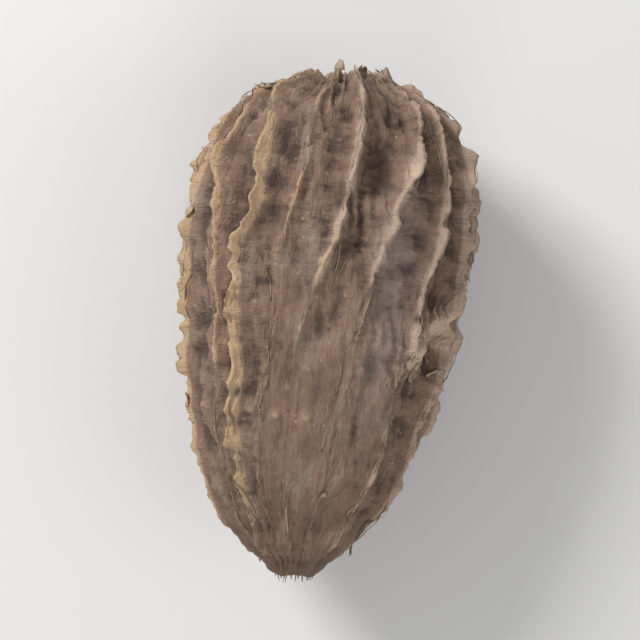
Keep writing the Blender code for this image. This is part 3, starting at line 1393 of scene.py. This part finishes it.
@dataclass(frozen=True)
class Tongue:
    """A thin shred of dried skin, ragged at its tip and curled.

    Attributes:
        root: The middle of its root.
        ahead: The direction that it leaves its root in.
        out: The direction that its face looks in.
        length: From root to tip.
        width: Across its root.
        curl: Angle that it turns through on its way, towards its face.
        salt: Number that makes its ragged edge its own.
        cells: Faces across its root and from root to tip.
        raggedness: How much its sides wander, beside its width.
        side_waves: Waves of that wandering across its root and along its sides.
        taper: How much narrower its tip is.
        tip_raggedness: How much its tip wanders, beside its length.
        tip_waves: Waves of that wandering across its tip, and the row of the noise.
        cupping: How far its sides stand up, beside its width.
    """

    root: Vector
    ahead: Vector
    out: Vector
    length: float
    width: float
    curl: float
    salt: float
    cells: tuple[int, int] = (4, 6)
    raggedness: float = 0.55
    side_waves: Span = (5.0, 3.0)
    taper: float = 0.55
    tip_raggedness: float = 0.4
    tip_waves: Span = (4.0, 3.3)
    cupping: float = 0.5

    def add(self, shape: bmesh.types.BMesh, thickness: float) -> None:
        """Add the shred to a mesh, as a closed thin sheet.

        Args:
            shape: The mesh that gets it.
            thickness: How thick the sheet is.
        """
        first = len(shape.faces)
        wide, long = self.cells
        made = bmesh.ops.create_grid(shape, x_segments=wide, y_segments=long, size=0.5)
        side = self.ahead.cross(self.out).normalized()
        across_waves, along_waves = self.side_waves
        tip_waves, tip_row = self.tip_waves
        for vertex in made["verts"]:
            s, t = vertex.co.x, vertex.co.y + 0.5
            ragged = 1 + self.raggedness * wave(s * across_waves, t * along_waves, self.salt)
            across = s * self.width * (1 - self.taper * t * t) * ragged
            bend = self.curl * t
            reach = self.length * t * (1 + self.tip_raggedness * t * wave(s * tip_waves, self.salt, tip_row))
            forward = self.ahead * math.cos(bend) + self.out * math.sin(bend)
            cup = self.out * (self.width * self.cupping * s * s)
            vertex.co = self.root + side * across + forward * reach + cup
        shape.faces.ensure_lookup_table()
        faces = shape.faces[first:]
        for face in faces:
            face.normal_update()
        bmesh.ops.solidify(shape, geom=faces, thickness=thickness)


@dataclass
class LooseFibres:
    """Fine fibres that have sprung loose along the ridges and lie over the furrows."""

    husk: Husk
    finish: FibreFinish = field(default_factory=FibreFinish)
    count: int = 136
    shortest: float = 1.6 * MM
    longest: float = 5.5 * MM
    radius: float = 0.045 * MM
    lift: float = 0.32 * MM
    steps: int = 9
    underside: float = -0.55
    scatter: float = 0.16
    starts: Span = (0.12, 0.84)
    drift: float = 0.35
    lifts: Span = (0.3, 1.0)
    loose_share: float = 0.5
    float_share: float = 0.4
    radii: Span = (0.6, 1.4)
    seed: int = 5

    def build(self) -> bpy.types.Object:
        """Lay the fibres, each near a ridge and lifted in its middle or at its far end."""
        draw = random.Random(self.seed)
        shape = bmesh.new()
        count = len(self.husk.ridges.ridges)
        whole = float(self.husk.outline.rows[-1][-1])
        for number in range(self.count):
            ridge = number % count + draw.gauss(0, self.scatter)
            start = draw.uniform(*self.starts)
            length = draw.uniform(self.shortest, self.longest) / whole
            drift = draw.uniform(-self.drift, self.drift)
            lift = self.lift * draw.uniform(*self.lifts)
            loose_end = draw.random() < self.loose_share
            path = []
            for step in range(self.steps):
                t = step / (self.steps - 1)
                spot = self.husk.spot(start + length * t, (ridge + drift * t * t) / count)
                rise = lift * (t**2 if loose_end else math.sin(math.pi * t))
                path.append(spot.point + spot.out * (rise + self.float_share * self.radius))
            if spot.out.z > self.underside:
                add_strand(shape, path, self.radius * draw.uniform(*self.radii))
        return new_piece("loose_fibres", shape, self.finish.material())


@dataclass
class HuskFlakes:
    """Little papery flakes that peel from the skin beside the ridges and around the torn patch."""

    husk: Husk
    finish: FibreFinish = field(default_factory=lambda: FibreFinish("peeling_skin", (0.20, 0.135, 0.092)))
    count: int = 46
    shortest: float = 0.45 * MM
    longest: float = 1.15 * MM
    thickness: float = 0.03 * MM
    patch_share: float = 0.3
    patch_ridge: float = 6.25
    patch_along: float = 0.46
    patch_scatter: Span = (0.35, 0.045)
    scatter: float = 0.12
    alongs: Span = (0.08, 0.93)
    step_along: float = 0.01
    step_around: float = 0.004
    sinking: float = 0.04 * MM
    widths: Span = (0.3, 0.7)
    curls: Span = (0.1, 0.6)
    underside: float = -0.5
    seed: int = 21

    def build(self) -> bpy.types.Object:
        """Place the flakes, each rooted in the skin and lifted at its tip."""
        draw = random.Random(self.seed)
        shape = bmesh.new()
        count = len(self.husk.ridges.ridges)
        for number in range(self.count):
            if number < self.count * self.patch_share:
                aside, ahead = self.patch_scatter
                around = (self.patch_ridge + draw.gauss(0, aside)) / count
                along = self.patch_along + draw.gauss(0, ahead)
            else:
                around = (draw.randrange(count) + draw.gauss(0, self.scatter)) / count
                along = draw.uniform(*self.alongs)
            spot = self.husk.spot(along, around)
            next_along = along + self.step_along * draw.choice((-1, 1))
            beyond = self.husk.spot(next_along, around + draw.uniform(-self.step_around, self.step_around))
            length = draw.uniform(self.shortest, self.longest)
            tongue = Tongue(
                root=spot.point - spot.out * self.sinking,
                ahead=(beyond.point - spot.point).normalized(),
                out=spot.out,
                length=length,
                width=length * draw.uniform(*self.widths),
                curl=draw.uniform(*self.curls),
                salt=draw.uniform(*SALTS),
            )
            if spot.out.z > self.underside:
                tongue.add(shape, self.thickness)
        return new_piece("husk_flakes", shape, self.finish.material())


@dataclass
class EndShreds:
    """The dried shreds of the calyx around its pit, and the broken fibres of the stalk's scar."""

    husk: Husk
    end: End
    finish: FibreFinish
    count: int
    ring_share: float
    shortest: float
    longest: float
    thickness: float = 0.05 * MM
    scatter: float = 0.35
    reaches: Span = (0.75, 1.15)
    leans: Span = (-0.5, 0.35)
    inward_share: float = 0.75
    sinking: float = 0.15 * MM
    bends: float = 0.3
    fibre_steps: tuple[float, ...] = (0, 0.33, 0.67, 1)
    fibre_radii: Span = (1.2, 2.6)
    widths: Span = (0.5, 1.1)
    curls: Span = (0.1, 1.1)
    seed: int = 31

    def _along(self, radius: float) -> float:
        """Find where the body has a radius, at this end.

        Args:
            radius: The radius.

        Returns:
            The share of the way along the skin.
        """
        _, radii, *_ = self.husk.outline.rows
        shares = self.husk.outline.shares
        half = len(shares) // 2
        if self.end is End.STALK:
            return float(np.interp(radius, radii[:half], shares[:half]))
        return float(np.interp(radius, radii[half:][::-1], shares[half:][::-1]))

    def build(self) -> bpy.types.Object:
        """Set the shreds in a ragged ring that leans over the pit or the scar."""
        draw = random.Random(self.seed)
        shape = bmesh.new()
        ends = self.husk.ends
        radius = ends.stalk_radius if self.end is End.STALK else ends.calyx_radius
        axis = Vector((0, self.end.value, 0))
        for number in range(self.count):
            around = (number + draw.uniform(-self.scatter, self.scatter)) / self.count
            reach = radius * self.ring_share * draw.uniform(*self.reaches)
            spot = self.husk.spot(self._along(reach), around)
            sideways = Vector((spot.grain.x, 0, spot.grain.z)).normalized()
            ahead = (axis + sideways * draw.uniform(*self.leans)).normalized()
            out = -sideways if draw.random() < self.inward_share else sideways
            length = draw.uniform(self.shortest, self.longest)
            root = spot.point - axis * self.sinking
            if self.end is End.STALK:
                bend = sideways * draw.uniform(-self.bends, self.bends) * length
                path = [root + ahead * length * t + bend * t * t for t in self.fibre_steps]
                add_strand(shape, path, draw.uniform(*self.fibre_radii) * self.thickness)
            else:
                width = length * draw.uniform(*self.widths)
                curl = draw.uniform(*self.curls)
                tongue = Tongue(root, ahead, out, length, width, curl, draw.uniform(*SALTS))
                tongue.add(shape, self.thickness)
        return new_piece(f"{self.end.name.lower()}_shreds", shape, self.finish.material())


@dataclass(frozen=True)
class Lamp:
    """One soft square light.

    Attributes:
        name: Its name.
        offset: Where it hangs, from the middle of the pod, which it faces.
        size: Its side.
        watts: Its power.
    """

    name: str
    offset: tuple[float, float, float]
    size: float
    watts: float

    def hang(self, target: Vector) -> None:
        """Hang the light so that it faces a point.

        Args:
            target: The point.
        """
        lamp = bpy.data.lights.new(self.name, "AREA")
        lamp.energy = self.watts
        lamp.size = self.size
        light = bpy.data.objects.new(self.name, lamp)
        light.location = target + Vector(self.offset)
        light.rotation_euler = (-Vector(self.offset)).to_track_quat("-Z", "Y").to_euler()
        bpy.context.scene.collection.objects.link(light)


@dataclass
class Studio:
    """The pale floor, the soft lights and the camera straight above the pod."""

    floor_size: float = 6.0
    lens: float = 120.0
    fill_share: float = 0.80
    lean: float = math.radians(6)
    near_clip: float = 0.001
    lamps: tuple[Lamp, ...] = (
        Lamp("key", (-0.19, 0.15, 0.17), 0.10, 0.74),
        Lamp("fill", (0.24, -0.05, 0.20), 0.22, 0.18),
        Lamp("rim", (0.02, -0.26, 0.12), 0.12, 0.20),
    )
    sky: Colour = (0.95, 0.97, 1.0)
    sky_strength: float = 0.36

    def build(self) -> None:
        """Set up the floor, the lights, the camera and the sky."""
        self._floor()
        low, high = CAD_BOX
        centre = (low + high) / 2
        for lamp in self.lamps:
            lamp.hang(centre)
        self._camera(centre, high.y - low.y)
        world = bpy.data.worlds.new("sky")
        world.use_nodes = True
        background = world.node_tree.nodes["Background"]
        background.inputs["Color"].default_value = (*self.sky, 1.0)
        background.inputs["Strength"].default_value = self.sky_strength
        bpy.context.scene.world = world
        bpy.context.scene.view_settings.view_transform = "Standard"

    def _floor(self) -> None:
        """Lay the pale floor under the pod."""
        board = bmesh.new()
        bmesh.ops.create_grid(board, x_segments=1, y_segments=1, size=self.floor_size / 2)
        mesh = bpy.data.meshes.new("floor")
        board.to_mesh(mesh)
        board.free()
        mesh.materials.append(FloorFinish().material())
        floor = bpy.data.objects.new("floor", mesh)
        bpy.context.scene.collection.objects.link(floor)

    def _camera(self, centre: Vector, length: float) -> None:
        """Hang the camera straight above the pod, turned so that the pod leans as it should.

        Args:
            centre: The middle of the pod.
            length: The pod's length.
        """
        lens = bpy.data.cameras.new("camera")
        lens.lens = self.lens
        lens.clip_start = self.near_clip
        camera = bpy.data.objects.new("camera", lens)
        seen = length / self.fill_share
        distance = seen / (lens.sensor_width / lens.lens)
        camera.location = centre + Vector((0, 0, distance))
        camera.rotation_euler = (0, 0, self.lean)
        bpy.context.scene.collection.objects.link(camera)
        bpy.context.scene.camera = camera


def main() -> None:
    """Build the husk, what grows on it and the studio, and report each piece."""
    logging.basicConfig(level=logging.INFO, format="%(name)s: %(message)s")
    husk = Husk()
    paper = FibreFinish("calyx_paper", (0.19, 0.125, 0.085), (0.45, 0.325, 0.225))
    bast = FibreFinish("stalk_fibre", (0.17, 0.112, 0.075), (0.45, 0.34, 0.235))
    pieces = [
        husk.build(),
        LooseFibres(husk).build(),
        HuskFlakes(husk).build(),
        EndShreds(
            husk, End.CALYX, paper, count=24, ring_share=0.92, shortest=0.35 * MM, longest=0.85 * MM
        ).build(),
        EndShreds(
            husk, End.STALK, bast, count=26, ring_share=0.6, shortest=0.3 * MM, longest=0.75 * MM
        ).build(),
    ]
    for piece in pieces:
        LOG.info("%s: %d faces", piece.name, len(piece.data.polygons))
    Studio().build()


if __name__ == "__main__":
    main()
